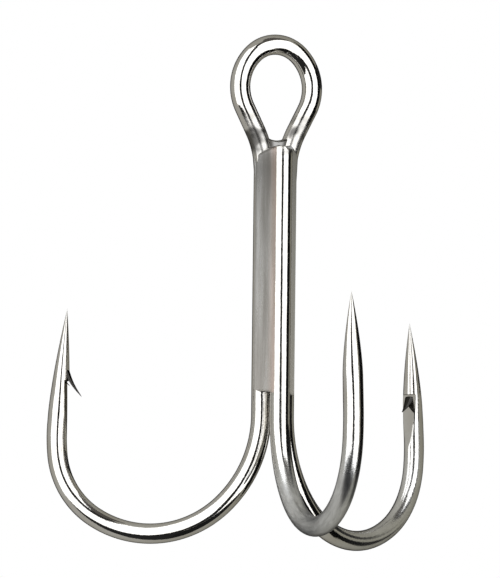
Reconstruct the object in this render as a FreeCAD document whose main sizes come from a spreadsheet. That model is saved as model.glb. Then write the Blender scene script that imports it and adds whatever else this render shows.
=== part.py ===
import FreeCAD, Part
import math
import os

import Sketcher

# Treble hook: a double hook bent from one wire, a single hook laid in its valley, and the braze that joins them.
#
# Frame: millimetres, +Z up. Z runs along the hook's own axis, between its three shanks, and the origin is on
# that axis, level with the widest part of the eye. The eye's plane faces Y. The single hook points to -Y.

SIZES = {
    # the wire, the gap that braze fills between two shanks, and the shanks from the neck to the bend
    "wire_dia": 2.0,
    "braze_gap": 0.373,
    "shank_length": 24.03,
    # the bend: four arcs, each starting where the last one ends
    "throat_radius": 12.1,
    "throat_turn": 46.6,
    "heel_radius": 10.4,
    "heel_turn": 76.6,
    "front_radius": 8.25,
    "front_turn": 50.9,
    "rise_radius": 18.1,
    "rise_turn": 10.2,
    # the point and its barb
    "leg_length": 0.3,
    "point_length": 11.0,
    "tip_dia": 0.16,
    "barb_setback": 6.0,
    "barb_length": 3.15,
    "barb_splay": 34.5,
    "barb_thickness": 0.5,
    "barb_width": 1.2,
    "barb_back_width": 0.5,
    "barb_end": 0.1,
    "cut_setback": 7.0,
    "cut_length": 7.0,
    "cut_depth": 0.5,
    # the eye, and the neck where its wires come together
    "eye_half_width": 3.77,
    "eye_side_radius": 4.6,
    "eye_top_radius": 3.37,
    "neck_radius": 9.04,
    "neck_flare": 26.8,
    # the single hook's cut end and the braze, from the start of the neck or of the bend
    "cut_end_rise": 2.37,
    "braze_hollow": 0.04,
    "braze_clear_of_bend": 2.2,
    "braze_arch_radius": 1.3,
    "crotch_rise": 3.17,
    "crotch_radius": 1.2,
    "shoulder_rise": 2.77,
    "shoulder_drop": 1.05,
}

BENDS = ("throat", "heel", "front", "rise")

# Azimuths, in degrees from +X towards +Y: between neighbouring wires, of each arm, and of the way that the
# double hook's wires part at the neck.
WIRE_SPACING = 120.0
ARM_AZIMUTHS = {"right_arm": 30.0, "left_arm": 150.0, "front_arm": 270.0}
LEFT_AWAY = 180.0
RIGHT_AWAY = 0.0

# The braze has sections at these shares of its rise above the start of the neck.
FLARE_SHARES = (0, 0.35, 0.7, 1)

# Cutting outlines reach past one wire and through a whole seam, in wire diameters, and over its top, in mm.
PAST_WIRE = 2
THROUGH_SEAM = 6
OVER_TOP = 1

# The middle of the barb's root is this many of its thicknesses inside the point's surface.
BARB_SUNK = 0.75

Vector = FreeCAD.Vector
Z_AXIS = Vector(0, 0, 1)
Y_AXIS = Vector(0, 1, 0)
LEAN_AXIS = Vector(0, -1, 0)

doc = FreeCAD.newDocument("treble_hook")


def make_sheet():
    """The spreadsheet that holds every driving size, one to a row: its name, then its value."""
    sheet = doc.addObject("Spreadsheet::Sheet", "sizes")
    for row, (name, value) in enumerate(SIZES.items(), start=1):
        sheet.set(f"A{row}", name)
        sheet.set(f"B{row}", str(value))
        sheet.setAlias(f"B{row}", name)
    doc.recompute()
    return sheet


def size(name):
    """The way a formula names a cell of the sheet."""
    return f"sizes.{name}"


def shank_offset():
    """From the hook's axis to the centre of each shank: three wires in a triangle, a braze gap apart."""
    return f"(({size('wire_dia')} + {size('braze_gap')}) / sqrt(3))"


def neck_level():
    """How far below the eye's centre the shanks become straight: two arcs, and the straight run between them."""
    radii = f"({size('eye_side_radius')} + {size('neck_radius')})"
    flare = size("neck_flare")
    shank = f"{shank_offset()} * cos({ARM_AZIMUTHS['right_arm']})"
    across = f"({size('eye_half_width')} - {shank} - {radii} * (1 - cos({flare})))"
    return f"({radii} * sin({flare}) + {across} / tan({flare}))"


def bend_level():
    """How far below the eye's centre the shanks end and the bends start."""
    return f"({neck_level()} + {size('shank_length')})"


def add_body(name):
    return doc.addObject("PartDesign::Body", name)


def add_sketch(body, name, role, level=None):
    """A sketch on one of the body's own origin planes, raised along the plane's normal by the formula level."""
    plane = next(item for item in body.Origin.OriginFeatures if item.Role == role)
    sketch = body.newObject("Sketcher::SketchObject", name)
    sketch.AttachmentSupport = [(plane, "")]
    sketch.MapMode = "FlatFace"
    if level:
        sketch.setExpression("AttachmentOffset.Base.z", level)
    doc.recompute()
    return sketch


def measure(sketch, formula):
    """What a formula comes to now, as a plain number."""
    result = sketch.evalExpression(formula)
    return float(getattr(result, "Value", result))


def bind(sketch, kind, geometry, name, formula):
    """A dimension of the sketch that follows a formula."""
    number = measure(sketch, formula)
    if kind == "Angle":
        number = math.radians(number)
    index = sketch.addConstraint(Sketcher.Constraint(kind, *geometry, number))
    sketch.renameConstraint(index, name)
    sketch.setExpression(f"Constraints.{name}", formula)


def bind_point(sketch, edge, end, name, across, up):
    """Place one end of an edge by its two distances from the sketch's origin."""
    bind(sketch, "DistanceX", (-1, 1, edge, end), f"{name}_across", across)
    bind(sketch, "DistanceY", (-1, 1, edge, end), f"{name}_up", up)


def join_smoothly(sketch, first, first_end, second, second_end):
    sketch.addConstraint(Sketcher.Constraint("Tangent", first, first_end, second, second_end))


def draw_outline(sketch, corners):
    """A closed outline with straight sides through corners given as pairs of formulas."""
    places = [Vector(measure(sketch, across), measure(sketch, up), 0) for across, up in corners]
    for index, place in enumerate(places):
        sketch.addGeometry(Part.LineSegment(place, places[(index + 1) % len(places)]))
    for index, (across, up) in enumerate(corners):
        previous = (index - 1) % len(corners)
        sketch.addConstraint(Sketcher.Constraint("Coincident", previous, 2, index, 1))
        bind_point(sketch, index, 1, f"corner{index}", across, up)
    doc.recompute()


def draw_circle(sketch, across, up, diameter):
    centre = Vector(measure(sketch, across), measure(sketch, up), 0)
    radius = measure(sketch, diameter) / 2
    sketch.addGeometry(Part.Circle(centre, Z_AXIS, radius))
    bind_point(sketch, 0, 3, "centre", across, up)
    bind(sketch, "Diameter", (0,), "diameter", diameter)
    doc.recompute()


def draw_wire_section(body, azimuth):
    """The wire's round section, where the shank ends and the bend starts."""
    sketch = add_sketch(body, "wire_section_" + body.Name, "XY_Plane", f"-{bend_level()}")
    across = f"{shank_offset()} * cos({azimuth})"
    up = f"{shank_offset()} * sin({azimuth})"
    draw_circle(sketch, across, up, size("wire_dia"))
    return sketch


def sweep(body, name, section, path, edges):
    pipe = body.newObject("PartDesign::AdditivePipe", name)
    pipe.Profile = section
    pipe.Spine = (path, [f"Edge{number + 1}" for number in range(edges)])
    doc.recompute()
    return pipe


def heading(count):
    """How far the wire has turned, from straight down, after the first arcs of the bend."""
    turns = [size(f"{bend}_turn") for bend in BENDS[:count]]
    return "(" + " + ".join(turns or ["0"]) + ")"


def tip_reach():
    """The tip's distance from the hook's axis: each arc's share of the reach, then the straight point's."""
    arcs = [f"{size(bend + '_radius')} * (cos({heading(index)}) - cos({heading(index + 1)}))"
            for index, bend in enumerate(BENDS)]
    spear = f"({size('leg_length')} + {size('point_length')}) * sin({heading(len(BENDS))})"
    return " + ".join([shank_offset(), *arcs, spear])


def tip_height():
    """The tip's height, worked out in the same way."""
    arcs = [f"{size(bend + '_radius')} * (sin({heading(index + 1)}) - sin({heading(index)}))"
            for index, bend in enumerate(BENDS)]
    spear = f"({size('leg_length')} + {size('point_length')}) * cos({heading(len(BENDS))})"
    return " - ".join([f"-{bend_level()}", *arcs, spear])


def stand_at_tip(piece):
    """Put a piece, modelled with its tip at the origin and its axis along Z, where the hook's point is."""
    piece.Placement = FreeCAD.Placement(Vector(), FreeCAD.Rotation(LEAN_AXIS, 1))
    piece.setExpression("Placement.Base.x", tip_reach())
    piece.setExpression("Placement.Base.z", tip_height())
    piece.setExpression("Placement.Rotation.Angle", f"{heading(len(BENDS))} - 180")


def make_bend():
    """The bend: the round wire swept along four tangent arcs and the short straight leg below the point."""
    body = add_body("bend")
    section = draw_wire_section(body, 0)
    path = add_sketch(body, "bend_path", "XZ_Plane")
    here = Vector(measure(path, shank_offset()), -measure(path, bend_level()), 0)
    turned = 0.0
    for index, bend in enumerate(BENDS):
        radius = measure(path, size(f"{bend}_radius"))
        start = math.pi + turned
        turned += math.radians(measure(path, size(f"{bend}_turn")))
        centre = here - Vector(radius * math.cos(start), radius * math.sin(start), 0)
        end = math.pi + turned
        path.addGeometry(Part.ArcOfCircle(Part.Circle(centre, Z_AXIS, radius), start, end))
        here = centre + Vector(radius * math.cos(end), radius * math.sin(end), 0)
    leg = measure(path, size("leg_length"))
    path.addGeometry(Part.LineSegment(here, here + Vector(leg * math.sin(turned), -leg * math.cos(turned), 0)))
    for index in range(len(BENDS)):
        join_smoothly(path, index, 2, index + 1, 1)
    path.addConstraint(Sketcher.Constraint("Horizontal", 0, 1, 0, 3))
    bind_point(path, 0, 1, "start", shank_offset(), f"-{bend_level()}")
    for index, bend in enumerate(BENDS):
        bind(path, "Radius", (index,), f"{bend}_radius", size(f"{bend}_radius"))
        bind(path, "Angle", (index,), f"{bend}_turn", size(f"{bend}_turn"))
    bind(path, "Distance", (len(BENDS),), "leg_length", size("leg_length"))
    doc.recompute()
    sweep(body, "bend_sweep", section, path, len(BENDS) + 1)
    return body


def make_point():
    """The needle point: an ogive turned about its own axis, which runs down from the tip at the origin."""
    body = add_body("needle_point")
    sketch = add_sketch(body, "point_profile", "XZ_Plane")
    tip = measure(sketch, size("tip_dia")) / 2
    base = measure(sketch, size("wire_dia")) / 2
    length = measure(sketch, size("point_length"))
    radius = (length ** 2 + (base - tip) ** 2) / (2 * (base - tip))
    side = Part.Circle(Vector(base - radius, -length, 0), Z_AXIS, radius)
    corners = [Vector(base, -length, 0), Vector(tip, 0, 0), Vector(0, 0, 0), Vector(0, -length, 0)]
    sketch.addGeometry(Part.ArcOfCircle(side, 0, math.asin(length / radius)))
    for index in (1, 2, 3):
        sketch.addGeometry(Part.LineSegment(corners[index], corners[(index + 1) % len(corners)]))
        sketch.addConstraint(Sketcher.Constraint("Coincident", index - 1, 2, index, 1))
    sketch.addConstraint(Sketcher.Constraint("Coincident", 3, 2, 0, 1))
    sketch.addConstraint(Sketcher.Constraint("Coincident", 1, 2, -1, 1))
    sketch.addConstraint(Sketcher.Constraint("Horizontal", 1))
    sketch.addConstraint(Sketcher.Constraint("Vertical", 2))
    sketch.addConstraint(Sketcher.Constraint("Horizontal", 3))
    sketch.addConstraint(Sketcher.Constraint("Horizontal", 0, 1, 0, 3))
    bind(sketch, "Distance", (1,), "tip_radius", f"{size('tip_dia')} / 2")
    bind(sketch, "Distance", (2,), "point_length", size("point_length"))
    bind(sketch, "Distance", (3,), "base_radius", f"{size('wire_dia')} / 2")
    doc.recompute()
    turned = body.newObject("PartDesign::Revolution", "point_turned")
    turned.Profile = sketch
    turned.ReferenceAxis = (sketch, ["V_Axis"])
    turned.Angle = 360
    stand_at_tip(body)
    doc.recompute()
    return body


def make_barb_cut():
    """The slice taken out of the point's inner side where the barb was lifted: a wall, then a long flat."""
    body = add_body("barb_cut")
    sketch = add_sketch(body, "cut_profile", "XZ_Plane")
    wall = f"-{size('cut_setback')}"
    foot = f"-{size('cut_setback')} - {size('cut_length')}"
    face = f"-{size('wire_dia')} / 2"
    outside = f"{face} * {PAST_WIRE}"
    draw_outline(sketch, [
        (f"{face} + {size('cut_depth')}", wall),
        (outside, wall),
        (outside, foot),
        (face, foot),
    ])
    pad = body.newObject("PartDesign::Pad", "cut_pad")
    pad.Profile = sketch
    pad.Midplane = True
    pad.setExpression("Length", f"{size('wire_dia')} * {PAST_WIRE}")
    stand_at_tip(body)
    doc.recompute()
    return body


def make_barb():
    """The barb: the lifted slice, broad at its root inside the wire and drawn out to a sharp free end.

    Its back is narrower than its cut face, because it was a slice off the side of a round wire.
    """
    body = add_body("barb")
    taper = f"(1 - {size('barb_setback')} / {size('point_length')})"
    surface = f"{size('wire_dia')} / 2 * (1 - {taper} ^ 2)"
    root_side = f"({surface} - {size('barb_thickness')} * {BARB_SUNK})"
    turn = size("barb_splay")
    sections = []
    for name, along, wide, back, thick in (
        ("root", "0", "barb_width", "barb_back_width", "barb_thickness"),
        ("end", size("barb_length"), "barb_end", "barb_end", "barb_end"),
    ):
        sketch = add_sketch(body, f"barb_{name}", "XY_Plane")
        sketch.AttachmentOffset = FreeCAD.Placement(Vector(), FreeCAD.Rotation(Y_AXIS, 1))
        sketch.setExpression("AttachmentOffset.Rotation.Angle", turn)
        sketch.setExpression("AttachmentOffset.Base.x", f"-{root_side} - {along} * sin({turn})")
        sketch.setExpression("AttachmentOffset.Base.z", f"-{size('barb_setback')} - {along} * cos({turn})")
        doc.recompute()
        draw_outline(sketch, [
            (f"-{size(thick)} / 2", f"-{size(back)} / 2"),
            (f"{size(thick)} / 2", f"-{size(wide)} / 2"),
            (f"{size(thick)} / 2", f"{size(wide)} / 2"),
            (f"-{size(thick)} / 2", f"{size(back)} / 2"),
        ])
        sections.append(sketch)
    loft = body.newObject("PartDesign::AdditiveLoft", "barb_loft")
    loft.Profile = sections[0]
    loft.Sections = sections[1:]
    loft.Ruled = True
    stand_at_tip(body)
    doc.recompute()
    return body


def fuse(name, shapes):
    joined = doc.addObject("Part::MultiFuse", name)
    joined.Shapes = shapes
    doc.recompute()
    return joined


def cut(name, base, tool):
    left = doc.addObject("Part::Cut", name)
    left.Base = base
    left.Tool = tool
    doc.recompute()
    return left


def make_arm():
    """One hook without its shank, reaching out along +X: bend, point, the barb's cut and the barb."""
    wire = fuse("bend_and_point", [make_bend(), make_point()])
    sliced = cut("sliced_arm", wire, make_barb_cut())
    return fuse("arm", [sliced, make_barb()])


def place_arm(arm, name):
    """The same arm again, turned about the hook's axis to its own side."""
    link = doc.addObject("App::Link", name)
    link.LinkedObject = arm
    link.Placement = FreeCAD.Placement(Vector(), FreeCAD.Rotation(Z_AXIS, ARM_AZIMUTHS[name]))
    return link


def make_eye():
    """The double hook's two shanks and the eye between them: half the wire's path swept, then mirrored."""
    body = add_body("eye")
    azimuth = ARM_AZIMUTHS["right_arm"]
    section = draw_wire_section(body, azimuth)
    path = add_sketch(body, "eye_path", "XZ_Plane", f"-{shank_offset()} * sin({azimuth})")
    shank = f"{shank_offset()} * cos({azimuth})"
    side_centre = f"{size('eye_half_width')} - {size('eye_side_radius')}"
    x_shank = measure(path, shank)
    x_side = measure(path, side_centre)
    neck_z = -measure(path, neck_level())
    bend_z = -measure(path, bend_level())
    neck = measure(path, size("neck_radius"))
    side = measure(path, size("eye_side_radius"))
    top = measure(path, size("eye_top_radius"))
    flare = math.radians(measure(path, size("neck_flare")))
    shoulder = math.acos(-x_side / (side - top))
    z_top = -(side - top) * math.sin(shoulder)
    side_circle = Part.Circle(Vector(x_side, 0, 0), Z_AXIS, side)
    neck_circle = Part.Circle(Vector(x_shank + neck, neck_z, 0), Z_AXIS, neck)
    neck_end = neck_circle.value(math.pi - flare)
    side_start = side_circle.value(-flare)
    path.addGeometry(Part.LineSegment(Vector(x_shank, bend_z, 0), Vector(x_shank, neck_z, 0)))
    path.addGeometry(Part.ArcOfCircle(neck_circle, math.pi - flare, math.pi))
    path.addGeometry(Part.LineSegment(neck_end, side_start))
    path.addGeometry(Part.ArcOfCircle(side_circle, -flare, shoulder))
    path.addGeometry(Part.ArcOfCircle(Part.Circle(Vector(0, -z_top, 0), Z_AXIS, top), shoulder, math.pi / 2))
    join_smoothly(path, 0, 2, 1, 2)
    join_smoothly(path, 1, 1, 2, 1)
    join_smoothly(path, 2, 2, 3, 1)
    join_smoothly(path, 3, 2, 4, 1)
    path.addConstraint(Sketcher.Constraint("Vertical", 0))
    path.addConstraint(Sketcher.Constraint("PointOnObject", 3, 3, -1))
    path.addConstraint(Sketcher.Constraint("PointOnObject", 4, 3, -2))
    path.addConstraint(Sketcher.Constraint("PointOnObject", 4, 2, -2))
    bind_point(path, 0, 1, "bend", shank, f"-{bend_level()}")
    bind(path, "DistanceY", (-1, 1, 0, 2), "neck_level", f"-{neck_level()}")
    bind(path, "DistanceX", (-1, 1, 3, 3), "side_centre", side_centre)
    bind(path, "Radius", (1,), "neck_radius", size("neck_radius"))
    bind(path, "Radius", (3,), "side_radius", size("eye_side_radius"))
    bind(path, "Radius", (4,), "top_radius", size("eye_top_radius"))
    doc.recompute()
    half = sweep(body, "half_eye", section, path, 5)
    mirror = body.newObject("PartDesign::Mirrored", "whole_eye")
    mirror.Originals = [half]
    mirror.MirrorPlane = (next(item for item in body.Origin.OriginFeatures if item.Role == "YZ_Plane"), [""])
    body.Tip = mirror
    doc.recompute()
    return body


def make_single_shank():
    """The single hook's straight shank, from the bend up to its cut end at the foot of the eye."""
    body = add_body("single_shank")
    section = draw_wire_section(body, ARM_AZIMUTHS["front_arm"])
    pad = body.newObject("PartDesign::Pad", "shank_pad")
    pad.Profile = section
    pad.setExpression("Length", f"{size('shank_length')} + {size('cut_end_rise')}")
    doc.recompute()
    return body


def braze_rise():
    """How high the stock for the braze stands above the start of the neck."""
    return f"({size('crotch_rise')} + {size('crotch_radius')} / 2)"


def flare_level(share):
    """A level in the flared part of the braze: share 0 is where the neck starts, 1 the top of the stock."""
    return f"-{neck_level()} + {share} * {braze_rise()}"


def neck_spread(share, azimuth):
    """How far a wire of the double hook has bent away at that level, as X and Y parts along an azimuth."""
    moved = f"({size('neck_radius')} - sqrt({size('neck_radius')} ^ 2 - ({share} * {braze_rise()}) ^ 2))"
    return (f"{moved} * cos({azimuth})", f"{moved} * sin({azimuth})")


def seam_section(body, name, level, share, left_azimuth, right_azimuth):
    """Braze between two wires at one level: from the hook's axis out past both wires' centres.

    The wires stand like the double hook's. One that bends away at the neck has the azimuth that it moves in.
    """
    sketch = add_sketch(body, name, "XY_Plane", level)
    offset = shank_offset()
    depth = f"({size('wire_dia')} / 2 - {size('braze_hollow')})"
    sides = []
    for arm, away in (("right_arm", right_azimuth), ("left_arm", left_azimuth)):
        azimuth = ARM_AZIMUTHS[arm]
        across, up = ("0", "0") if away is None else neck_spread(share, away)
        sides.append((f"{offset} * cos({azimuth}) + {across}", f"{offset} * sin({azimuth}) + {up}"))
    right, left = sides
    draw_outline(sketch, [
        ("0", "0"),
        right,
        (right[0], f"{right[1]} + {depth}"),
        (left[0], f"{left[1]} + {depth}"),
        left,
    ])
    return sketch


def open_end(body, name, corners=None, circle=None):
    """Take material off an end of the seam, all the way through it, by an outline or a circle."""
    sketch = add_sketch(body, name + "_outline", "XZ_Plane")
    if circle:
        draw_circle(sketch, *circle)
    else:
        draw_outline(sketch, corners)
    pocket = body.newObject("PartDesign::Pocket", name)
    pocket.Profile = sketch
    pocket.Midplane = True
    pocket.setExpression("Length", f"{size('wire_dia')} * {THROUGH_SEAM}")
    doc.recompute()


def make_seam(name, turn, left_azimuth, right_azimuth, lower_side):
    """One run of braze, modelled in the valley that faces +Y and then turned to its own valley.

    It fills between two shanks, follows them as they part at the neck, and its lower end is drawn up in an
    arch by the melt's surface tension. Its top is a saddle in the eye's crotch, or slopes down to one side.
    """
    body = add_body(name + "_seam")
    bottom = f"-{bend_level()} + {size('braze_clear_of_bend')} - {size('braze_arch_radius')}"
    sections = [seam_section(body, f"{name}_bottom", bottom, 0, None, None)]
    for index, share in enumerate(FLARE_SHARES):
        level = flare_level(share)
        sections.append(seam_section(body, f"{name}_flare{index}", level, share, left_azimuth, right_azimuth))
    loft = body.newObject("PartDesign::AdditiveLoft", name + "_loft")
    loft.Profile = sections[0]
    loft.Sections = sections[1:]
    loft.Ruled = True
    doc.recompute()
    open_end(body, name + "_arch", circle=("0", bottom, f"{size('braze_arch_radius')} * 2"))
    if lower_side:
        reach = f"{size('wire_dia')} * {PAST_WIRE}"
        above = f"{flare_level(1)} + {OVER_TOP}"
        high = f"-{neck_level()} + {size('shoulder_rise')} + {size('shoulder_drop')} / 2"
        low = f"-{neck_level()} + {size('shoulder_rise')} - {size('shoulder_drop')}"
        left, right = (low, high) if lower_side == "left" else (high, low)
        open_end(body, name + "_shoulder", corners=[
            (f"-{reach}", left), (reach, right), (reach, above), (f"-{reach}", above),
        ])
    else:
        saddle = f"-{neck_level()} + {size('crotch_rise')} + {size('crotch_radius')}"
        open_end(body, name + "_saddle", circle=("0", saddle, f"{size('crotch_radius')} * 2"))
    body.Placement = FreeCAD.Placement(Vector(), FreeCAD.Rotation(Z_AXIS, turn))
    doc.recompute()
    return body


def make_braze(wires):
    """The three seams, each with the wires that it flowed around cut out of it."""
    plans = {
        "rear_braze": (0.0, LEFT_AWAY, RIGHT_AWAY, None),
        "left_braze": (WIRE_SPACING, None, LEFT_AWAY - WIRE_SPACING, "right"),
        "right_braze": (-WIRE_SPACING, RIGHT_AWAY + WIRE_SPACING, None, "left"),
    }
    return [cut(name, make_seam(name, *plan), wires) for name, plan in plans.items()]


def check_and_write(pieces):
    """Stop on anything that failed to build, then write each piece to its own STEP file."""
    doc.recompute()
    failed = [item.Name for item in doc.Objects if {"Invalid", "Error"} & set(item.State)]
    if failed:
        raise RuntimeError(f"these did not build: {failed}")
    for piece in pieces:
        if piece.Shape.isNull() or not piece.Shape.isValid():
            raise RuntimeError(f"{piece.Label} has no valid shape")
    os.makedirs("parts", exist_ok=True)
    for piece in pieces:
        piece.Shape.exportStep(os.path.join("parts", piece.Label + ".step"))
        box = piece.Shape.BoundBox
        print(piece.Label, len(piece.Shape.Solids), round(piece.Shape.Volume, 2), box)


make_sheet()
arm = make_arm()
double_hook = fuse("double_hook", [make_eye(), place_arm(arm, "left_arm"), place_arm(arm, "right_arm")])
single_hook = fuse("single_hook", [make_single_shank(), place_arm(arm, "front_arm")])
wires = doc.addObject("Part::Compound", "wires")
wires.Links = [double_hook, single_hook]
doc.recompute()
check_and_write([double_hook, single_hook, *make_braze(wires)])
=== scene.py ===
import math

import bpy
import numpy as np
from mathutils import Matrix, Vector


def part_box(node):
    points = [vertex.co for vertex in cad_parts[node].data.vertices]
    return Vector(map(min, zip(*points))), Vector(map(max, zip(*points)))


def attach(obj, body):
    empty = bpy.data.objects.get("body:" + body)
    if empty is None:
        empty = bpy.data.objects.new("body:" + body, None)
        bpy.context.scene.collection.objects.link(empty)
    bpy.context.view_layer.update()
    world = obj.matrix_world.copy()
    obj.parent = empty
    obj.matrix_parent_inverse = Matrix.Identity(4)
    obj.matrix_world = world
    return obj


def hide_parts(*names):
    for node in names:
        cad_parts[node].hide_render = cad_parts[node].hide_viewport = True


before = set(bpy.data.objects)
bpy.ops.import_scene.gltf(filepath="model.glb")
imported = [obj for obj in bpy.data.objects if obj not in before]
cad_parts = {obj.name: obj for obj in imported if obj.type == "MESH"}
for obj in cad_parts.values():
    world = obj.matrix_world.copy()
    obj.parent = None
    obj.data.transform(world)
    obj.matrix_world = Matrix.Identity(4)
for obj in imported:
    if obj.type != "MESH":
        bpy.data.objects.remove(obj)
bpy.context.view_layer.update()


# ---- Double hook ---------------------------------------------------------------------------
# One length of round high-carbon steel wire makes two of the three hooks and the eye between
# them. It is bent cold round formers and drawn to a needle point at each end, and each barb
# is a slice of the point that a chisel lifted. Sizes are in millimetres, bends (radius, turn).
wire_radius = 1.0
braze_gap = 0.373
shank_reach = (2 * wire_radius + braze_gap) / math.sqrt(3)
shank_azimuth = 30.0
eye_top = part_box("double_hook")[1].z * 1000 - wire_radius
eye_bends = ((3.37, -42.43), (4.60, -74.37))
eye_side = 2.49
neck_bend = (9.04, 26.8)
shank_length = 24.03
arm_bends = ((12.1, 46.6), (10.4, 76.6), (8.25, 50.9), (18.1, 10.2))
leg_length = 0.3
point_length = 11.0

taper_inward = (10.3, 1.5)  # length from the tip, and power
taper_sideways = (8.25, 1.6)
cut_top, cut_foot, cut_depth = 7.15, 12.4, 0.52
cut_margin = 0.5  # how far past the flat's foot the close rings begin
wall_step = 0.004
flat_share = 0.26
ease_above, ease_below = 1.5, 1.2
barb_sizes = {"below_tip": 6.0, "inside": 0.42, "splay": 34.5, "length": 3.15, "width": 1.15, "thick": 0.5}
stub_sizes = {"below_tip": 7.35, "inside": 0.38, "splay": 41.0, "length": 2.05, "width": 1.05, "thick": 0.4}
burr_sizes = {"below_tip": 7.0, "inside": 0.34, "splay": 44.0, "length": 0.85, "width": 0.8, "thick": 0.12}
feather_width, feather_thickness = 0.03, 0.015
barb_bow = 0.05
wire_sides = 64
wire_step = 0.25
flat_rings, needle_rings = 70, 80


def arc_rows(bends, azimuth):
    """Rows of (length, turn in degrees, plane's azimuth): an arc's length is its radius times its turn."""
    return [(radius * math.radians(abs(turn)), turn, azimuth) for radius, turn in bends]


def lay_wire(start, heading, azimuth, rows, stations):
    """Centreline of a bent wire, with its directions, at the given lengths along it.

    The heading in the bend's plane grows evenly along each row, and the plane's azimuth too. Each step
    goes in the heading at its middle, shortened from arc to chord, and the place is the running sum.
    """
    knots = np.cumsum([0.0] + [row[0] for row in rows])
    headings = np.radians(heading + np.cumsum([0.0] + [row[1] for row in rows]))
    azimuths = np.radians([azimuth] + [row[2] for row in rows])

    def directions(length):
        """Heading, and the ways along, inward and sideways, as level and upright parts of the heading."""
        turn, plane = np.interp(length, knots, headings), np.interp(length, knots, azimuths)
        along = np.stack([np.cos(turn) * np.cos(plane), np.cos(turn) * np.sin(plane), np.sin(turn)], -1)
        inward = np.stack([-np.sin(turn) * np.cos(plane), -np.sin(turn) * np.sin(plane), np.cos(turn)], -1)
        sideways = np.stack([-np.sin(plane), np.cos(plane), np.zeros_like(plane)], -1)
        return turn, along, inward, sideways

    turn, along, inward, sideways = directions(stations)
    middle = directions((stations[1:] + stations[:-1]) / 2)[1]
    chord = np.diff(stations) * np.sinc(np.diff(turn) / (2 * np.pi))
    place = np.vstack([np.zeros(3), np.cumsum(middle * chord[:, None], axis=0)]) + np.array(start)
    return {"length": stations, "place": place, "along": along, "inward": inward, "sideways": sideways}


def point_stations(wire_length):
    """Lengths along the wire at which it has a ring.

    They go in even steps along the body, then in closer ones down to the barb's cut wall, which is two
    rings almost at one place, and up the needle, closest at its tip.
    """
    flat = np.linspace(cut_foot + cut_margin, cut_top + 0.1, flat_rings)
    wall = [cut_top + wall_step, cut_top]
    needle = np.linspace(cut_top - 0.05, 0.3, needle_rings)
    tip = [0.2, 0.13, 0.08, 0.04, 0.015, 0.0]
    body = np.arange(0.0, wire_length - cut_foot - cut_margin - wire_step / 2, wire_step)
    return np.concatenate([body, wire_length - np.concatenate([flat, wall, needle, tip])])


def planed_away(below_tip):
    """How deep the flat under the barb is: it grows evenly from nothing at its foot to full depth on top."""
    return np.clip((cut_foot - below_tip) / (cut_foot - cut_top), 0, 1) * cut_depth


def ring_angles(below_tip, half_width):
    """Angles of a ring's points, gathered so that one point falls on each edge of the planed flat.

    A fixed share of the points spans the flat's own angle and the rest the round side. Away from the
    flat the angle eases back to that share of a turn, where the points are evenly spaced.
    """
    even = np.linspace(-1, 1, wire_sides, endpoint=False)[None]
    cosine = (wire_radius - planed_away(below_tip)) / np.maximum(half_width, 1e-6)
    flat = np.arccos(np.clip(cosine, -1, 1))
    above, below = (cut_top - below_tip) / ease_above, (below_tip - cut_foot + ease_below) / ease_below
    eased = np.clip(np.maximum(above, below), 0, 1)
    flat = (flat * (1 - eased) + flat_share * np.pi * eased)[:, None]
    inside = even / flat_share * flat
    outside = np.sign(even) * (flat + (np.abs(even) - flat_share) / (1 - flat_share) * (np.pi - flat))
    return np.where(np.abs(even) <= flat_share, inside, outside)


def wire_rings(line, below_tip):
    """Rings of a round wire that is drawn to a needle point.

    Each half width is the wire's radius times one less a power of how far along its taper the ring is,
    so it swells from nothing at the tip. The inner side is planed off under the barb: no ring goes
    further inward than a flat that starts deep at the cut's wall and runs out to the round wire.
    """
    widths = [
        wire_radius * (1 - np.clip(1 - below_tip / length, 0, 1) ** power)
        for length, power in (taper_inward, taper_sideways)
    ]
    under_barb = (below_tip >= cut_top) & (below_tip < cut_foot)
    limit = np.where(under_barb, wire_radius - planed_away(below_tip), 2 * wire_radius)
    around = ring_angles(below_tip, widths[0])
    inward = np.minimum(widths[0][:, None] * np.cos(around), limit[:, None])
    sideways = widths[1][:, None] * np.sin(around)
    place = line["place"][:, None] + inward[..., None] * line["inward"][:, None]
    place += sideways[..., None] * line["sideways"][:, None]
    straight = np.stack(np.broadcast_arrays(
        wire_radius * np.cos(around), wire_radius * np.sin(around), line["length"][:, None]), -1)
    return place, straight


def sliver_rings(tip, up, inward, sizes, rings=28, sides=24):
    """Rings of a barb: a slice lifted off the wire, its back round and its cut face flat.

    It starts inside the wire and leans away by its splay, bowed a little by half a sine wave. Width and
    thickness fall as one less a power of the share of its length, down to a thin feather edge, and a
    ring is a half ellipse on the back and a flat-bottomed curve on the cut face.
    """
    splay = math.radians(sizes["splay"])
    lengthwise = sizes["length"] * np.linspace(0, 1, rings) ** 0.9
    share = (lengthwise / sizes["length"])[:, None]
    around = np.linspace(0, 2 * np.pi, sides, endpoint=False)
    down = math.sin(splay) * inward - math.cos(splay) * up
    back = math.cos(splay) * inward + math.sin(splay) * up
    side = np.cross(inward, up)
    root = tip - sizes["below_tip"] * up + sizes["inside"] * inward
    width = sizes["width"] / 2 * (1 - share ** 1.25) + feather_width
    thick = sizes["thick"] / 2 * (1 - share) ** 0.85 + feather_thickness
    across = width * np.cos(around)
    lift = thick * np.where(np.sin(around) > 0, np.sin(around), -np.abs(np.sin(around)) ** 0.3)
    bow = -barb_bow * sizes["length"] * np.sin(np.pi * share)
    place = root + lengthwise[:, None, None] * down + across[..., None] * side
    place += (lift + bow)[..., None] * back
    straight = np.stack(np.broadcast_arrays(across, lift, -lengthwise[:, None]), -1)
    return place, straight


def hang(name, made):
    """An object that carries a mesh or the camera's settings, put in the scene."""
    hung = bpy.data.objects.new(name, made)
    bpy.context.scene.collection.objects.link(hung)
    return hung


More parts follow.
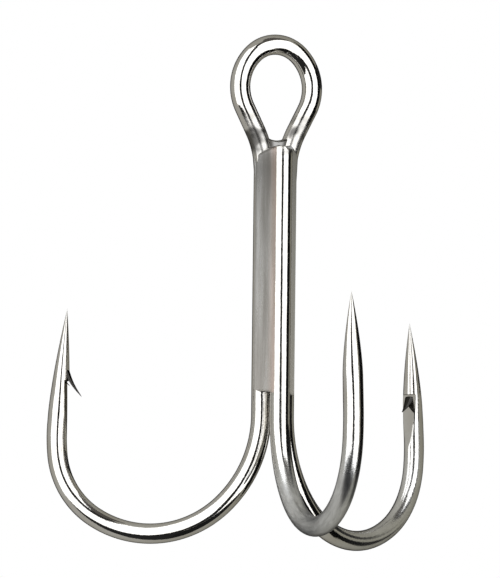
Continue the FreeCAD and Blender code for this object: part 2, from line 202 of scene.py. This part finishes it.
def closed_mesh(name, shells, sharp_angle=32.0):
    """One piece from closed shells, each of them rings of points.

    Four-sided faces join each ring to the next, and the first and last rings are drawn together to
    poles at their middles, which triangles close. Where each point stood on the straight wire goes with
    it as the attribute straight_wire, so that patterns follow the bends, and a second attribute, the mask
    for the slivers' painted shade, is one on every shell after the first, which are the slivers.
    """
    places, straights, sliver_shade, faces, count = [], [], [], [], 0
    for shell, (place, straight) in enumerate(shells):
        rings, sides = place.shape[0] - 2, place.shape[1]
        for store, values in ((places, place), (straights, straight)):
            store.append(values[0].mean(0, keepdims=True))
            store.append(values[1:-1].reshape(-1, 3))
            store.append(values[-1].mean(0, keepdims=True))
        grid = count + 1 + np.arange(rings * sides).reshape(rings, sides)
        beside = np.roll(grid, -1, axis=1)
        quads = np.stack([grid[:-1], grid[1:], beside[1:], beside[:-1]], -1).reshape(-1, 4)
        first = np.stack([np.full(sides, count), grid[0], beside[0]], -1)
        last = np.stack([np.full(sides, grid[-1, -1] + 1), beside[-1], grid[-1]], -1)
        faces += quads.tolist() + first.tolist() + last.tolist()
        count += rings * sides + 2
        # One on the slivers: the mask for their painted shade and painted dark reflection.
        sliver_shade += [float(shell > 0)] * (rings * sides + 2)
    mesh = bpy.data.meshes.new(name)
    mesh.from_pydata((np.vstack(places) / 1000).tolist(), [], faces)
    straight_wire = mesh.attributes.new("straight_wire", "FLOAT_VECTOR", "POINT")
    straight_wire.data.foreach_set("vector", (np.vstack(straights) / 1000).astype(np.float32).ravel())
    mesh.attributes.new("sliver_shade", "FLOAT", "POINT").data.foreach_set("value", sliver_shade)
    mesh.shade_smooth()
    mesh.set_sharp_from_angle(angle=math.radians(sharp_angle))
    return hang(name, mesh)


def bare_metal(name):
    """A new material with its finish, which is its node tree, and its shader, metal all over."""
    material = bpy.data.materials.new(name)
    material.use_nodes = True
    shader = material.node_tree.nodes["Principled BSDF"]
    shader.inputs["Metallic"].default_value = 1.0
    return material, material.node_tree, shader


def layer(finish, kind, inputs, **settings):
    """One node of a finish: after its settings, each input takes a value or a link from another's output."""
    made = finish.nodes.new("ShaderNode" + kind)
    for setting, choice in settings.items():
        setattr(made, setting, choice)
    for socket, value in inputs.items():
        if isinstance(value, bpy.types.NodeSocket):
            finish.links.new(value, made.inputs[socket])
        else:
            made.inputs[socket].default_value = value
    return made


def speckle(finish, place, cells, detail, distortion=0.0):
    """Cloudy noise between nought and one, with this many cells to the metre."""
    inputs = {"Vector": place, "Scale": cells, "Detail": detail, "Distortion": distortion}
    return layer(finish, "TexNoise", inputs).outputs["Fac"]


def streaks(finish, straight, cells, detail, distortion=0.0):
    """The same noise drawn out along the wire: cells to the metre across, across and along it."""
    drawn_out = layer(finish, "Mapping", {"Vector": straight, "Scale": cells}).outputs["Vector"]
    return speckle(finish, drawn_out, 1.0, detail, distortion)


def rise(finish, value, start, end, low=0.0, high=1.0, slope="SMOOTHSTEP"):
    """Low up to the start, high past the end, and a slope between them that is eased unless it is LINEAR."""
    inputs = {"Value": value, "From Min": start, "From Max": end, "To Min": low, "To Max": high}
    return layer(finish, "MapRange", inputs, interpolation_type=slope).outputs["Result"]


def times(finish, first, second, plus=0.0):
    """First times second, with plus added."""
    inputs = {0: first, 1: second, 2: plus}
    return layer(finish, "Math", inputs, operation="MULTIPLY_ADD").outputs["Value"]


def added(finish, first, second, clamped=False):
    """First plus second, kept between nought and one where it is clamped."""
    return layer(finish, "Math", {0: first, 1: second}, use_clamp=clamped).outputs["Value"]


def tinted(finish, share, under, over, mode="MIX"):
    """One colour laid over another by a share."""
    inputs = {"Factor": share, "A": under, "B": over}
    return layer(finish, "Mix", inputs, data_type="RGBA", blend_type=mode).outputs["Result"]


def tones(finish, share, stops):
    """Colours at stops between nought and one, shading evenly from each stop to the next."""
    ramp = layer(finish, "ValToRGB", {"Fac": share})
    ends = ramp.color_ramp.elements
    for end, (place, colour) in ((ends[0], stops[0]), (ends[1], stops[-1])):
        end.position = place
        end.color = (*colour, 1)
    for place, colour in stops[1:-1]:
        ramp.color_ramp.elements.new(place).color = (*colour, 1)
    return ramp.outputs["Color"]


def embossed(finish, height, depth, under=None, strength=1.0):
    """A surface bumped by a height times a depth in metres, on top of another bumped surface."""
    inputs = {"Height": height, "Distance": depth, "Strength": strength}
    if under is not None:
        inputs["Normal"] = under
    return layer(finish, "Bump", inputs).outputs["Normal"]


neck_band_upper_edge, neck_band_lower_edge = (-0.0020, -0.0044), (-0.0072, -0.0060)  # metres, as every material's


def plated_steel(name, rough, scuffed, scuff_levels, scuff_from):
    """Bright nickel over steel wire, darker towards its outline as nickel is.

    It is darkest on the slivers, which are painted near black as painted shade and painted dark reflection.
    Long fine lines from drawing the wire, a faint ripple in the plating and a fine grain bend the
    reflections. Roughness varies in patches. It rises to scuffed below the two scuff levels and beyond the
    two places across in scuff_from (metres), where the tone is burnished pale and streaked darker along the
    wire. A dulled band at the neck carries soft dark spots, which are painted dark reflections.
    """
    material, finish, shader = bare_metal(name)
    shader.inputs["Specular Tint"].default_value = (0.12, 0.11, 0.09, 1)
    straight = layer(finish, "Attribute", {}, attribute_name="straight_wire").outputs["Vector"]
    # Painted shade and painted dark reflection: this mask paints the slivers near black.
    sliver_shade = layer(finish, "Attribute", {}, attribute_name="sliver_shade").outputs["Fac"]
    place = layer(finish, "TexCoord", {}).outputs["Object"]
    split = layer(finish, "SeparateXYZ", {"Vector": place}).outputs
    patches = speckle(finish, place, cells=420, detail=4.0)

    low_down = rise(finish, split["Z"], *scuff_levels)
    worn = times(finish, low_down, rise(finish, split["X"], *scuff_from, high=scuffed - rough))
    burnished_share = times(finish, worn, 4.0)
    scratched_share = times(finish, worn, 3.2, plus=0.2)

    drawn_lines = streaks(finish, straight, cells=(9000, 9000, 260), detail=2.0)
    ripple = speckle(finish, place, cells=2200, detail=1.5)
    grain = speckle(finish, place, cells=8000, detail=1.0)
    lined = embossed(finish, drawn_lines, depth=0.0000032)
    rippled = embossed(finish, ripple, depth=0.000006, under=lined)
    grained = embossed(finish, grain, depth=0.000011, under=rippled, strength=scratched_share)
    finish.links.new(grained, shader.inputs["Normal"])

    # A dulled band at the neck, with soft dark spots in it that are painted dark reflections.
    below_band_top = rise(finish, split["Z"], *neck_band_upper_edge)
    above_braze = rise(finish, split["Z"], *neck_band_lower_edge)
    neck_band = times(finish, below_band_top, above_braze)
    dark_reflection_spots = rise(finish, speckle(finish, place, cells=620, detail=1.0), 0.44, 0.62, high=0.85)

    nickel = tones(finish, patches, ((0.35, (0.735, 0.715, 0.675)), (0.65, (0.800, 0.792, 0.770))))
    burnished = tinted(finish, burnished_share, nickel, (0.96, 0.98, 1.0, 1))
    rubbed = streaks(finish, straight, cells=(2600, 2600, 620), detail=4.0, distortion=0.6)
    streaky = rise(finish, rubbed, 0.38, 0.62, high=0.95, slope="LINEAR")
    # Dark share: wear streaks in the scuffed zones, plus painted shade on the slivers and painted dark
    # reflections in the neck band.
    wear_streaks_and_sliver_shade = times(finish, worn, streaky, plus=sliver_shade)
    dark = added(finish, wear_streaks_and_sliver_shade, times(finish, neck_band, dark_reflection_spots), clamped=True)
    darkened = tinted(finish, dark, burnished, (0.055, 0.053, 0.05, 1))
    finish.links.new(darkened, shader.inputs["Base Color"])

    uneven = rise(finish, patches, 0.3, 0.7, rough * 0.7, rough * 1.3, slope="LINEAR")
    dulled = times(finish, neck_band, 0.22, plus=added(finish, worn, uneven))
    finish.links.new(dulled, shader.inputs["Roughness"])
    return material


half_rows = arc_rows(eye_bends, 0.0)
half_rows.append((eye_side, 0.0, 0.0))
half_rows += arc_rows([neck_bend], 0.0)
half_rows.append((shank_length, 0.0, shank_azimuth))
half_rows += arc_rows(arm_bends, shank_azimuth)
half_rows.append((leg_length + point_length, 0.0, shank_azimuth))
half_length = sum(row[0] for row in half_rows)
eye_plane = shank_reach * math.sin(math.radians(shank_azimuth))
right_half = lay_wire((0.0, eye_plane, eye_top), 0.0, 0.0, half_rows, point_stations(half_length))

mirrored = np.array([-1.0, 1.0, 1.0])
left_half = {key: right_half[key][:0:-1] * mirrored for key in ("place", "inward", "sideways")}
left_half["along"] = right_half["along"][:0:-1] * -mirrored
left_half["length"] = -right_half["length"][:0:-1]
whole = {key: np.concatenate([left_half[key], right_half[key]]) for key in right_half}
double_shells = [wire_rings(whole, half_length - np.abs(whole["length"]))]
for end, towards_tip, slivers in ((0, -1, (barb_sizes, burr_sizes)), (-1, 1, (stub_sizes,))):
    for sizes in slivers:
        double_shells.append(sliver_rings(
            whole["place"][end], towards_tip * whole["along"][end], whole["inward"][end], sizes))

double_hook_wire = closed_mesh("double_hook_wire", double_shells)
double_hook_wire.data.materials.append(
    plated_steel("bright_nickel", 0.075, 0.19, scuff_levels=(-0.030, -0.038), scuff_from=(0.006, 0.012)))
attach(double_hook_wire, "root")
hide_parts("double_hook")


# ---- Single hook ---------------------------------------------------------------------------
# The third hook is a second, shorter piece of the same wire, bent and pointed in the same way.
# Its straight shank lies in the valley in front of the double hook's two shanks, and its upper
# end was sheared off square at the foot of the eye, where the braze holds it.
single_azimuth = 270.0
cut_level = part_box("single_hook")[1].z * 1000
past_neck = 2.37  # how far its shank goes on above the straight part of the other two
sheared_step = 0.22
step_width = 0.16

single_rows = [(shank_length + past_neck, 0.0, single_azimuth)]
single_rows += arc_rows(arm_bends, single_azimuth)
single_rows.append((leg_length + point_length, 0.0, single_azimuth))
single_length = sum(row[0] for row in single_rows)
single_start = (0.0, -shank_reach, cut_level)
single_line = lay_wire(single_start, -90.0, single_azimuth, single_rows, point_stations(single_length))
single_place, single_straight = wire_rings(single_line, single_length - single_line["length"])


def sheared_end(place, straight, start):
    """Rings that close the sheared end: a centre, a flat and a rounded lip.

    Each is the wire's first ring shrunk to the centre by its inset and lowered by its drop, and one
    side is lower by a small step, as the shear left it.
    """
    inset = np.array([1.0, 0.55, 0.16, 0.07, 0.02])
    drop = np.array([0.0, 0.0, 0.0, 0.03, 0.10])
    centre = np.array(start)
    rings = centre + (place[0] - centre) * (1 - inset)[:, None, None]
    step = np.clip((rings[..., 0] - centre[0]) / step_width + 0.5, 0, 1)
    rings[..., 2] -= drop[:, None] + sheared_step * step
    straights = np.broadcast_to(straight[0], (len(inset),) + straight[0].shape)
    return np.concatenate([rings, place[2:]]), np.concatenate([straights, straight[2:]])


single_tip = single_line["place"][-1], single_line["along"][-1], single_line["inward"][-1]
single_shells = [sheared_end(single_place, single_straight, single_start)]
single_shells += [sliver_rings(*single_tip, sizes) for sizes in (barb_sizes, burr_sizes)]
single_hook_wire = closed_mesh("single_hook_wire", single_shells)
single_hook_wire.data.materials.append(
    plated_steel("scuffed_nickel", 0.075, 0.31, scuff_levels=(-0.034, -0.041), scuff_from=(-0.02, -0.01)))
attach(single_hook_wire, "root")
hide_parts("single_hook")


# ---- Braze ---------------------------------------------------------------------------------
# Filler metal ran into the three valleys between the shanks and set nearly flush with the
# wires, plated over with the rest. The rear run also fills the eye's crotch in a saddle, the
# two front ones slope down to the double hook's wires, and each ends below in a small arch.
braze_proud = 0.003
braze_hollow = 0.012
braze_wobble, wobble_along, wobble_across = 0.004, 0.9, 2.1
inner_bow = 0.05
braze_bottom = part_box("left_braze")[0].z * 1000
nose_height = 0.28
crotch_level = -5.2
crotch_radius = 1.15
saddle_reach = 1.35
saddle_limit = 0.93
shoulder_level = -6.2
shoulder_drop, shoulder_power = 0.75, 1.3
arch_height, arch_power = 0.34, 2.2
arch_start, arch_reach = 0.05, 0.85
low_arch_height, low_arch_foot = 0.12, 1.2
past_eye, arm_and_point = 8.5, 46.0  # the ends of half the wire that are not shank
loops_across, points_up, points_round = 49, 150, 11


def wire_across(level):
    """How far a wire of the double hook stands to the side at each level, read off its centreline."""
    falling = (right_half["length"] > past_eye) & (right_half["length"] < half_length - arm_and_point)
    place = right_half["place"][falling]
    return np.interp(level, place[::-1, 2], place[::-1, 0])


def braze_run(name, first_wire, second_wire, outward, inner_depth, bottom, top, wraps):
    """A run of braze between two wires, as a closed shell.

    At each share of the way across, a loop goes up the outer face, over a rounded top, down the hidden
    face and round the lower end. A point's place is the mix of the two wires' centres at its level
    plus its depth outward. The outer face dips a little between the wires, and past each wire's centre
    it wets the wire a little further round, as a circle's height at that distance.
    """
    spacing = (2 * wire_radius + braze_gap) / 2
    reach = [1 + wire_radius * math.sin(math.radians(wrap)) / spacing for wrap in wraps]
    share = np.linspace(-reach[0], reach[1], loops_across)[:, None]
    climb = np.linspace(0, 1, points_up)[None]
    turn = np.linspace(0, np.pi, points_round)[None, 1:-1]
    low, high = bottom(share), top(share)
    level = low + climb * (high - low)
    between = np.clip(1 - share ** 2, 0, 1)
    past = np.clip(np.abs(share) - 1, 0, 1) * spacing
    outer = np.sqrt(wire_radius ** 2 - past ** 2) + braze_proud - braze_hollow * between
    wobble = braze_wobble * np.sin(level * wobble_along + share * wobble_across) * between
    inner = inner_depth - inner_bow * np.clip(share, -1, 1) ** 2
    middle, half = (outer + inner) / 2, (outer - inner) / 2
    depth = np.hstack([
        outer + wobble, middle + half * np.cos(turn), inner + 0 * level, middle - half * np.cos(turn)])
    level = np.hstack([
        level, high + nose_height * np.sin(turn), level[:, ::-1], low - nose_height * np.sin(turn)])
    mix = (share + 1) / 2
    first, second = first_wire(level), second_wire(level)
    x = first[0] * (1 - mix) + second[0] * mix + depth * outward[0]
    y = first[1] * (1 - mix) + second[1] * mix + depth * outward[1]
    place = np.stack([x, y, level], -1)
    place = np.concatenate([place[:1], place, place[-1:]])
    straight = np.stack(np.broadcast_arrays(share * wire_radius, depth, level), -1)
    straight = np.concatenate([straight[:1], straight, straight[-1:]])
    return closed_mesh(name, [(place, straight)], sharp_angle=60.0)


def left_wire(level):
    """Centre of the left shank at a level."""
    return -wire_across(level), eye_plane


def right_wire(level):
    """Centre of the right shank at a level."""
    return wire_across(level), eye_plane


def front_wire(level):
    """Centre of the single hook's shank, which is straight."""
    return 0.0 * level, -shank_reach


def saddle(share):
    """Top of the rear run: the lower arc of a circle in the eye's crotch."""
    limit = crotch_radius * saddle_limit
    aside = np.clip(share * saddle_reach, -limit, limit)
    return crotch_level - nose_height + crotch_radius - np.sqrt(crotch_radius ** 2 - aside ** 2)


def shoulder(share):
    """Top of the left run, which falls from the single hook's end to the wire beside it.

    Its fall is a power of the share of the way across.
    """
    return shoulder_level - shoulder_drop * np.clip(0.5 - share / 2, 0, 2) ** shoulder_power


def far_shoulder(share):
    """Top of the right run, the same slope the other way about."""
    return shoulder(-share)


def arch(share):
    """Lower end of the left run, drawn up by the melt's surface tension.

    It falls by a power of the share across, and is low only along the single hook.
    """
    fall = np.clip((share - arch_start) / arch_reach, 0, 1) ** arch_power
    return braze_bottom + arch_height + nose_height - arch_height * fall


def low_arch(share):
    """Lower end of the other runs, which stopped lower down: a shallow arch, by the square of the share."""
    return braze_bottom + nose_height + low_arch_height * (low_arch_foot - share ** 2)


def brazed_nickel(name, copper_edge):
    """Satin metal with long soft streaks, darker towards the top.

    Copper shows faintly through the plating along one edge, growing between two distances across, and
    painted shade darkens the corners of the crotch, where the braze meets the wires.
    """
    material, finish, shader = bare_metal(name)
    straight = layer(finish, "Attribute", {}, attribute_name="straight_wire").outputs["Vector"]
    split = layer(finish, "SeparateXYZ", {"Vector": straight}).outputs
    run_lines = streaks(finish, straight, cells=(1300, 1300, 70), detail=5.0)
    finish.links.new(embossed(finish, run_lines, depth=0.000016), shader.inputs["Normal"])

    satin = tones(finish, run_lines, ((0.35, (0.74, 0.72, 0.70)), (0.65, (0.98, 0.98, 0.98))))
    # Tones by height: darker towards the top.
    top_darkening = [(0.0, (0.84, 0.83, 0.82))]
    for height, shade in ((0.55, 0.74), (0.76, 0.59), (0.86, 0.46), (0.925, 0.50), (0.945, 0.40)):
        top_darkening.append((height, (shade * 0.98, shade * 0.99, shade)))
    top_darkening.append((1.0, (0.34, 0.335, 0.32)))
    raised = rise(finish, split["Z"], braze_bottom / 1000, -0.0045, slope="LINEAR")
    shaded = tinted(finish, 1.0, tones(finish, raised, top_darkening), satin, mode="MULTIPLY")

    bared = times(finish, rise(finish, split["X"], *copper_edge), run_lines)
    coppery = tinted(finish, bared, shaded, (0.95, 0.72, 0.62, 1))
    # Painted shade: high up, the crotch's corners, where the braze meets the wires, are darkened near black.
    aside = layer(finish, "Math", {0: split["X"]}, operation="ABSOLUTE").outputs["Value"]
    high_up = rise(finish, split["Z"], -0.0064, -0.0058, high=0.85)
    corner_shade = times(finish, rise(finish, aside, 0.00018, 0.00046), high_up)
    corner_shaded = tinted(finish, corner_shade, coppery, (0.03, 0.027, 0.022, 1))
    finish.links.new(corner_shaded, shader.inputs["Base Color"])
    satin_rough = rise(finish, run_lines, 0.3, 0.7, 0.20, 0.32, slope="LINEAR")
    finish.links.new(satin_rough, shader.inputs["Roughness"])
    return material


def compass(azimuth):
    """Level direction at an azimuth, as its X and Y parts."""
    return math.cos(math.radians(azimuth)), math.sin(math.radians(azimuth))


no_edge, right_edge = (0.01, 0.02), (0.0001, 0.0011)  # the first is wider than any run
braze_runs = (
    ("rear_braze", right_wire, left_wire, 90.0, -0.68, saddle, low_arch, (8, 8), no_edge),
    ("left_braze", left_wire, front_wire, 210.0, 0.15, shoulder, arch, (16, 3), right_edge),
    ("right_braze", front_wire, right_wire, 330.0, 0.15, far_shoulder, low_arch, (3, 12), no_edge),
)
for node, first_wire, second_wire, azimuth, inner_depth, top, bottom, wraps, copper_edge in braze_runs:
    run = braze_run(node + "_run", first_wire, second_wire, compass(azimuth), inner_depth, bottom, top, wraps)
    run.data.materials.append(brazed_nickel(node + "_metal", copper_edge))
    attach(run, "root")
    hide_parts(node)


# ---- Studio --------------------------------------------------------------------------------
# A pale floor under the hanging hook, a white sweep behind it and large white cards to each
# side of the camera give the metal its bright bands. The gap between those cards, dark cards
# round them and a small black flag beside the hook give it its black lines. Sizes are in metres.
camera_azimuth, camera_elevation, camera_roll = -20.14, -5.11, 0.65
camera_distance = 0.9825
sensor_size, seen_height = 36.0, 0.05679
looked_at = Vector((0, 0, -0.021776))
framing = (-0.002564, 0.001818)

azimuth, elevation, roll = map(math.radians, (camera_azimuth, camera_elevation, camera_roll))
level_towards = Vector((math.sin(azimuth), -math.cos(azimuth), 0))
level_right = Vector((math.cos(azimuth), math.sin(azimuth), 0))
back = math.cos(elevation) * level_towards + Vector((0, 0, math.sin(elevation)))
level_up = back.cross(level_right)
right = math.cos(roll) * level_right + math.sin(roll) * level_up
up = math.cos(roll) * level_up - math.sin(roll) * level_right
camera_data = bpy.data.cameras.new("studio_camera")
camera_data.sensor_width = sensor_size
camera_data.lens = sensor_size * camera_distance / seen_height
camera_data.clip_start, camera_data.clip_end = 0.01, 20.0
camera = hang("studio_camera", camera_data)
camera_place = looked_at + framing[0] * right + framing[1] * up + camera_distance * back
camera_turn = Matrix((right, up, back)).transposed().to_4x4()
camera.matrix_world = Matrix.Translation(camera_place) @ camera_turn
bpy.context.scene.camera = camera
bpy.context.scene.view_settings.view_transform = "Standard"


def seen_in_metal(name, mesh):
    """A card that shows only as a reflection, and is part of the studio."""
    card = hang(name, mesh)
    card.visible_camera = card.visible_diffuse = card.visible_shadow = card.visible_transmission = False


def studio_card(name, azimuths, elevations, brightness, tint=(1, 1, 1), distance=0.7):
    """A glowing curved card: a part of a sphere round the hook.

    It lies between two azimuths, counted to the camera's right, and two elevations. A point is the
    sine and cosine of its azimuth along the camera's right and towards the camera, both times the
    cosine of its elevation, and the sine of its elevation up.
    """
    columns, rows = 33, 25
    hook_middle = np.array([0, 0, -0.02])
    across = np.radians(np.linspace(*azimuths, columns))[:, None]
    above = np.radians(np.linspace(*elevations, rows))[None]
    place = (
        (np.cos(above) * np.sin(across))[..., None] * np.array(level_right)
        + (np.cos(above) * np.cos(across))[..., None] * np.array(level_towards)
        + (np.sin(above) + 0 * across)[..., None] * np.array([0.0, 0.0, 1.0])
    ) * distance + hook_middle
    grid = np.arange(columns * rows).reshape(columns, rows)
    faces = np.stack([grid[:-1, :-1], grid[:-1, 1:], grid[1:, 1:], grid[1:, :-1]], -1).reshape(-1, 4)
    mesh = bpy.data.meshes.new(name)
    mesh.from_pydata(place.reshape(-1, 3).tolist(), [], faces.tolist())
    paper = bpy.data.materials.new(name)
    paper.use_nodes = True
    paper.node_tree.nodes.remove(paper.node_tree.nodes["Principled BSDF"])
    glow = layer(paper.node_tree, "Emission", {"Color": (*tint, 1), "Strength": brightness})
    surface = paper.node_tree.nodes["Material Output"].inputs["Surface"]
    paper.node_tree.links.new(glow.outputs["Emission"], surface)
    mesh.materials.append(paper)
    seen_in_metal(name, mesh)


studio_card("left_card", (-69, -7), (-20, 62), 1.7)
studio_card("right_card", (15, 68), (-38, 47), 1.7)
studio_card("lens_gap", (-9, 17), (-38, 62), 0.02, distance=0.72)
studio_card("left_under_gap", (-60, -7), (-88, -21), 0.02)
studio_card("right_under_gap", (-7, 72), (-88, -39), 0.012)
studio_card("right_over_gap", (8, 75), (49, 86), 0.09, tint=(1, 0.92, 0.84))
studio_card("low_side_gap", (74, 122), (-38, -9), 0.01)
studio_card("far_gap", (168, 220), (-30, 34), 0.09)
studio_card("high_side_gap", (98, 172), (8, 24), 0.02)


def matt_paint(name, colour, rough, gloss):
    """A plain material of one colour, for the studio."""
    paint = bpy.data.materials.new(name)
    paint.use_nodes = True
    shader = paint.node_tree.nodes["Principled BSDF"]
    shader.inputs["Base Color"].default_value = (*colour, 1)
    shader.inputs["Roughness"].default_value = rough
    shader.inputs["Specular IOR Level"].default_value = gloss
    return paint


def black_flag(near_edge, far_edge, levels):
    """A small black card upright beside the hook, from one edge to the other between two levels.

    An edge is how far it stands to the camera's right and how far towards the camera.
    """
    foot, head = levels
    near, far = (edge[0] * level_right + edge[1] * level_towards for edge in (near_edge, far_edge))
    corners = [(*edge[:2], level) for edge, level in ((near, foot), (far, foot), (far, head), (near, head))]
    mesh = bpy.data.meshes.new("black_flag")
    mesh.from_pydata(corners, [], [(0, 1, 2, 3)])
    mesh.materials.append(matt_paint("black_velvet", (0.004, 0.004, 0.004), rough=1.0, gloss=0.0))
    seen_in_metal("black_flag", mesh)


black_flag(near_edge=(0.0301, -0.0086), far_edge=(0.0750, 0.0290), levels=(-0.075, 0.045))


def pale_sweep(left_grey, right_grey):
    """White to the eye, and a soft grey in reflections, which goes from the left's to the right's.

    The share of the right's grey grows evenly with how far a ray points to the camera's right.
    """
    world = bpy.data.worlds.new("studio_light")
    bpy.context.scene.world = world
    world.use_nodes = True
    sweep = world.node_tree
    seen = sweep.nodes["Background"]
    seen.inputs["Color"].default_value = (1, 1, 1, 1)
    ray = layer(sweep, "TexCoord", {}).outputs["Generated"]
    rightward = layer(sweep, "VectorMath", {0: ray, 1: level_right}, operation="DOT_PRODUCT").outputs["Value"]
    right_share = rise(sweep, rightward, -0.7, 0.9, slope="LINEAR")
    grey = tones(sweep, right_share, ((0.0, left_grey), (1.0, right_grey)))
    reflected = layer(sweep, "Background", {"Color": grey})
    in_metal = layer(sweep, "LightPath", {}).outputs["Is Glossy Ray"]
    chosen = layer(
        sweep, "MixShader", {0: in_metal, 1: seen.outputs["Background"], 2: reflected.outputs["Background"]})
    sweep.links.new(chosen.outputs["Shader"], sweep.nodes["World Output"].inputs["Surface"])


pale_sweep(left_grey=(0.42, 0.41, 0.38), right_grey=(0.29, 0.28, 0.235))

floor_reach, floor_level = 2.0, -0.125
floor_sides = ((-1, -1), (1, -1), (1, 1), (-1, 1))
floor_corners = [(x * floor_reach, y * floor_reach, floor_level) for x, y in floor_sides]
floor_mesh = bpy.data.meshes.new("floor")
floor_mesh.from_pydata(floor_corners, [], [(0, 1, 2, 3)])
floor_mesh.materials.append(matt_paint("pale_floor", (0.86, 0.86, 0.85), rough=0.9, gloss=0.5))
floor = hang("floor", floor_mesh)
floor.visible_glossy = False
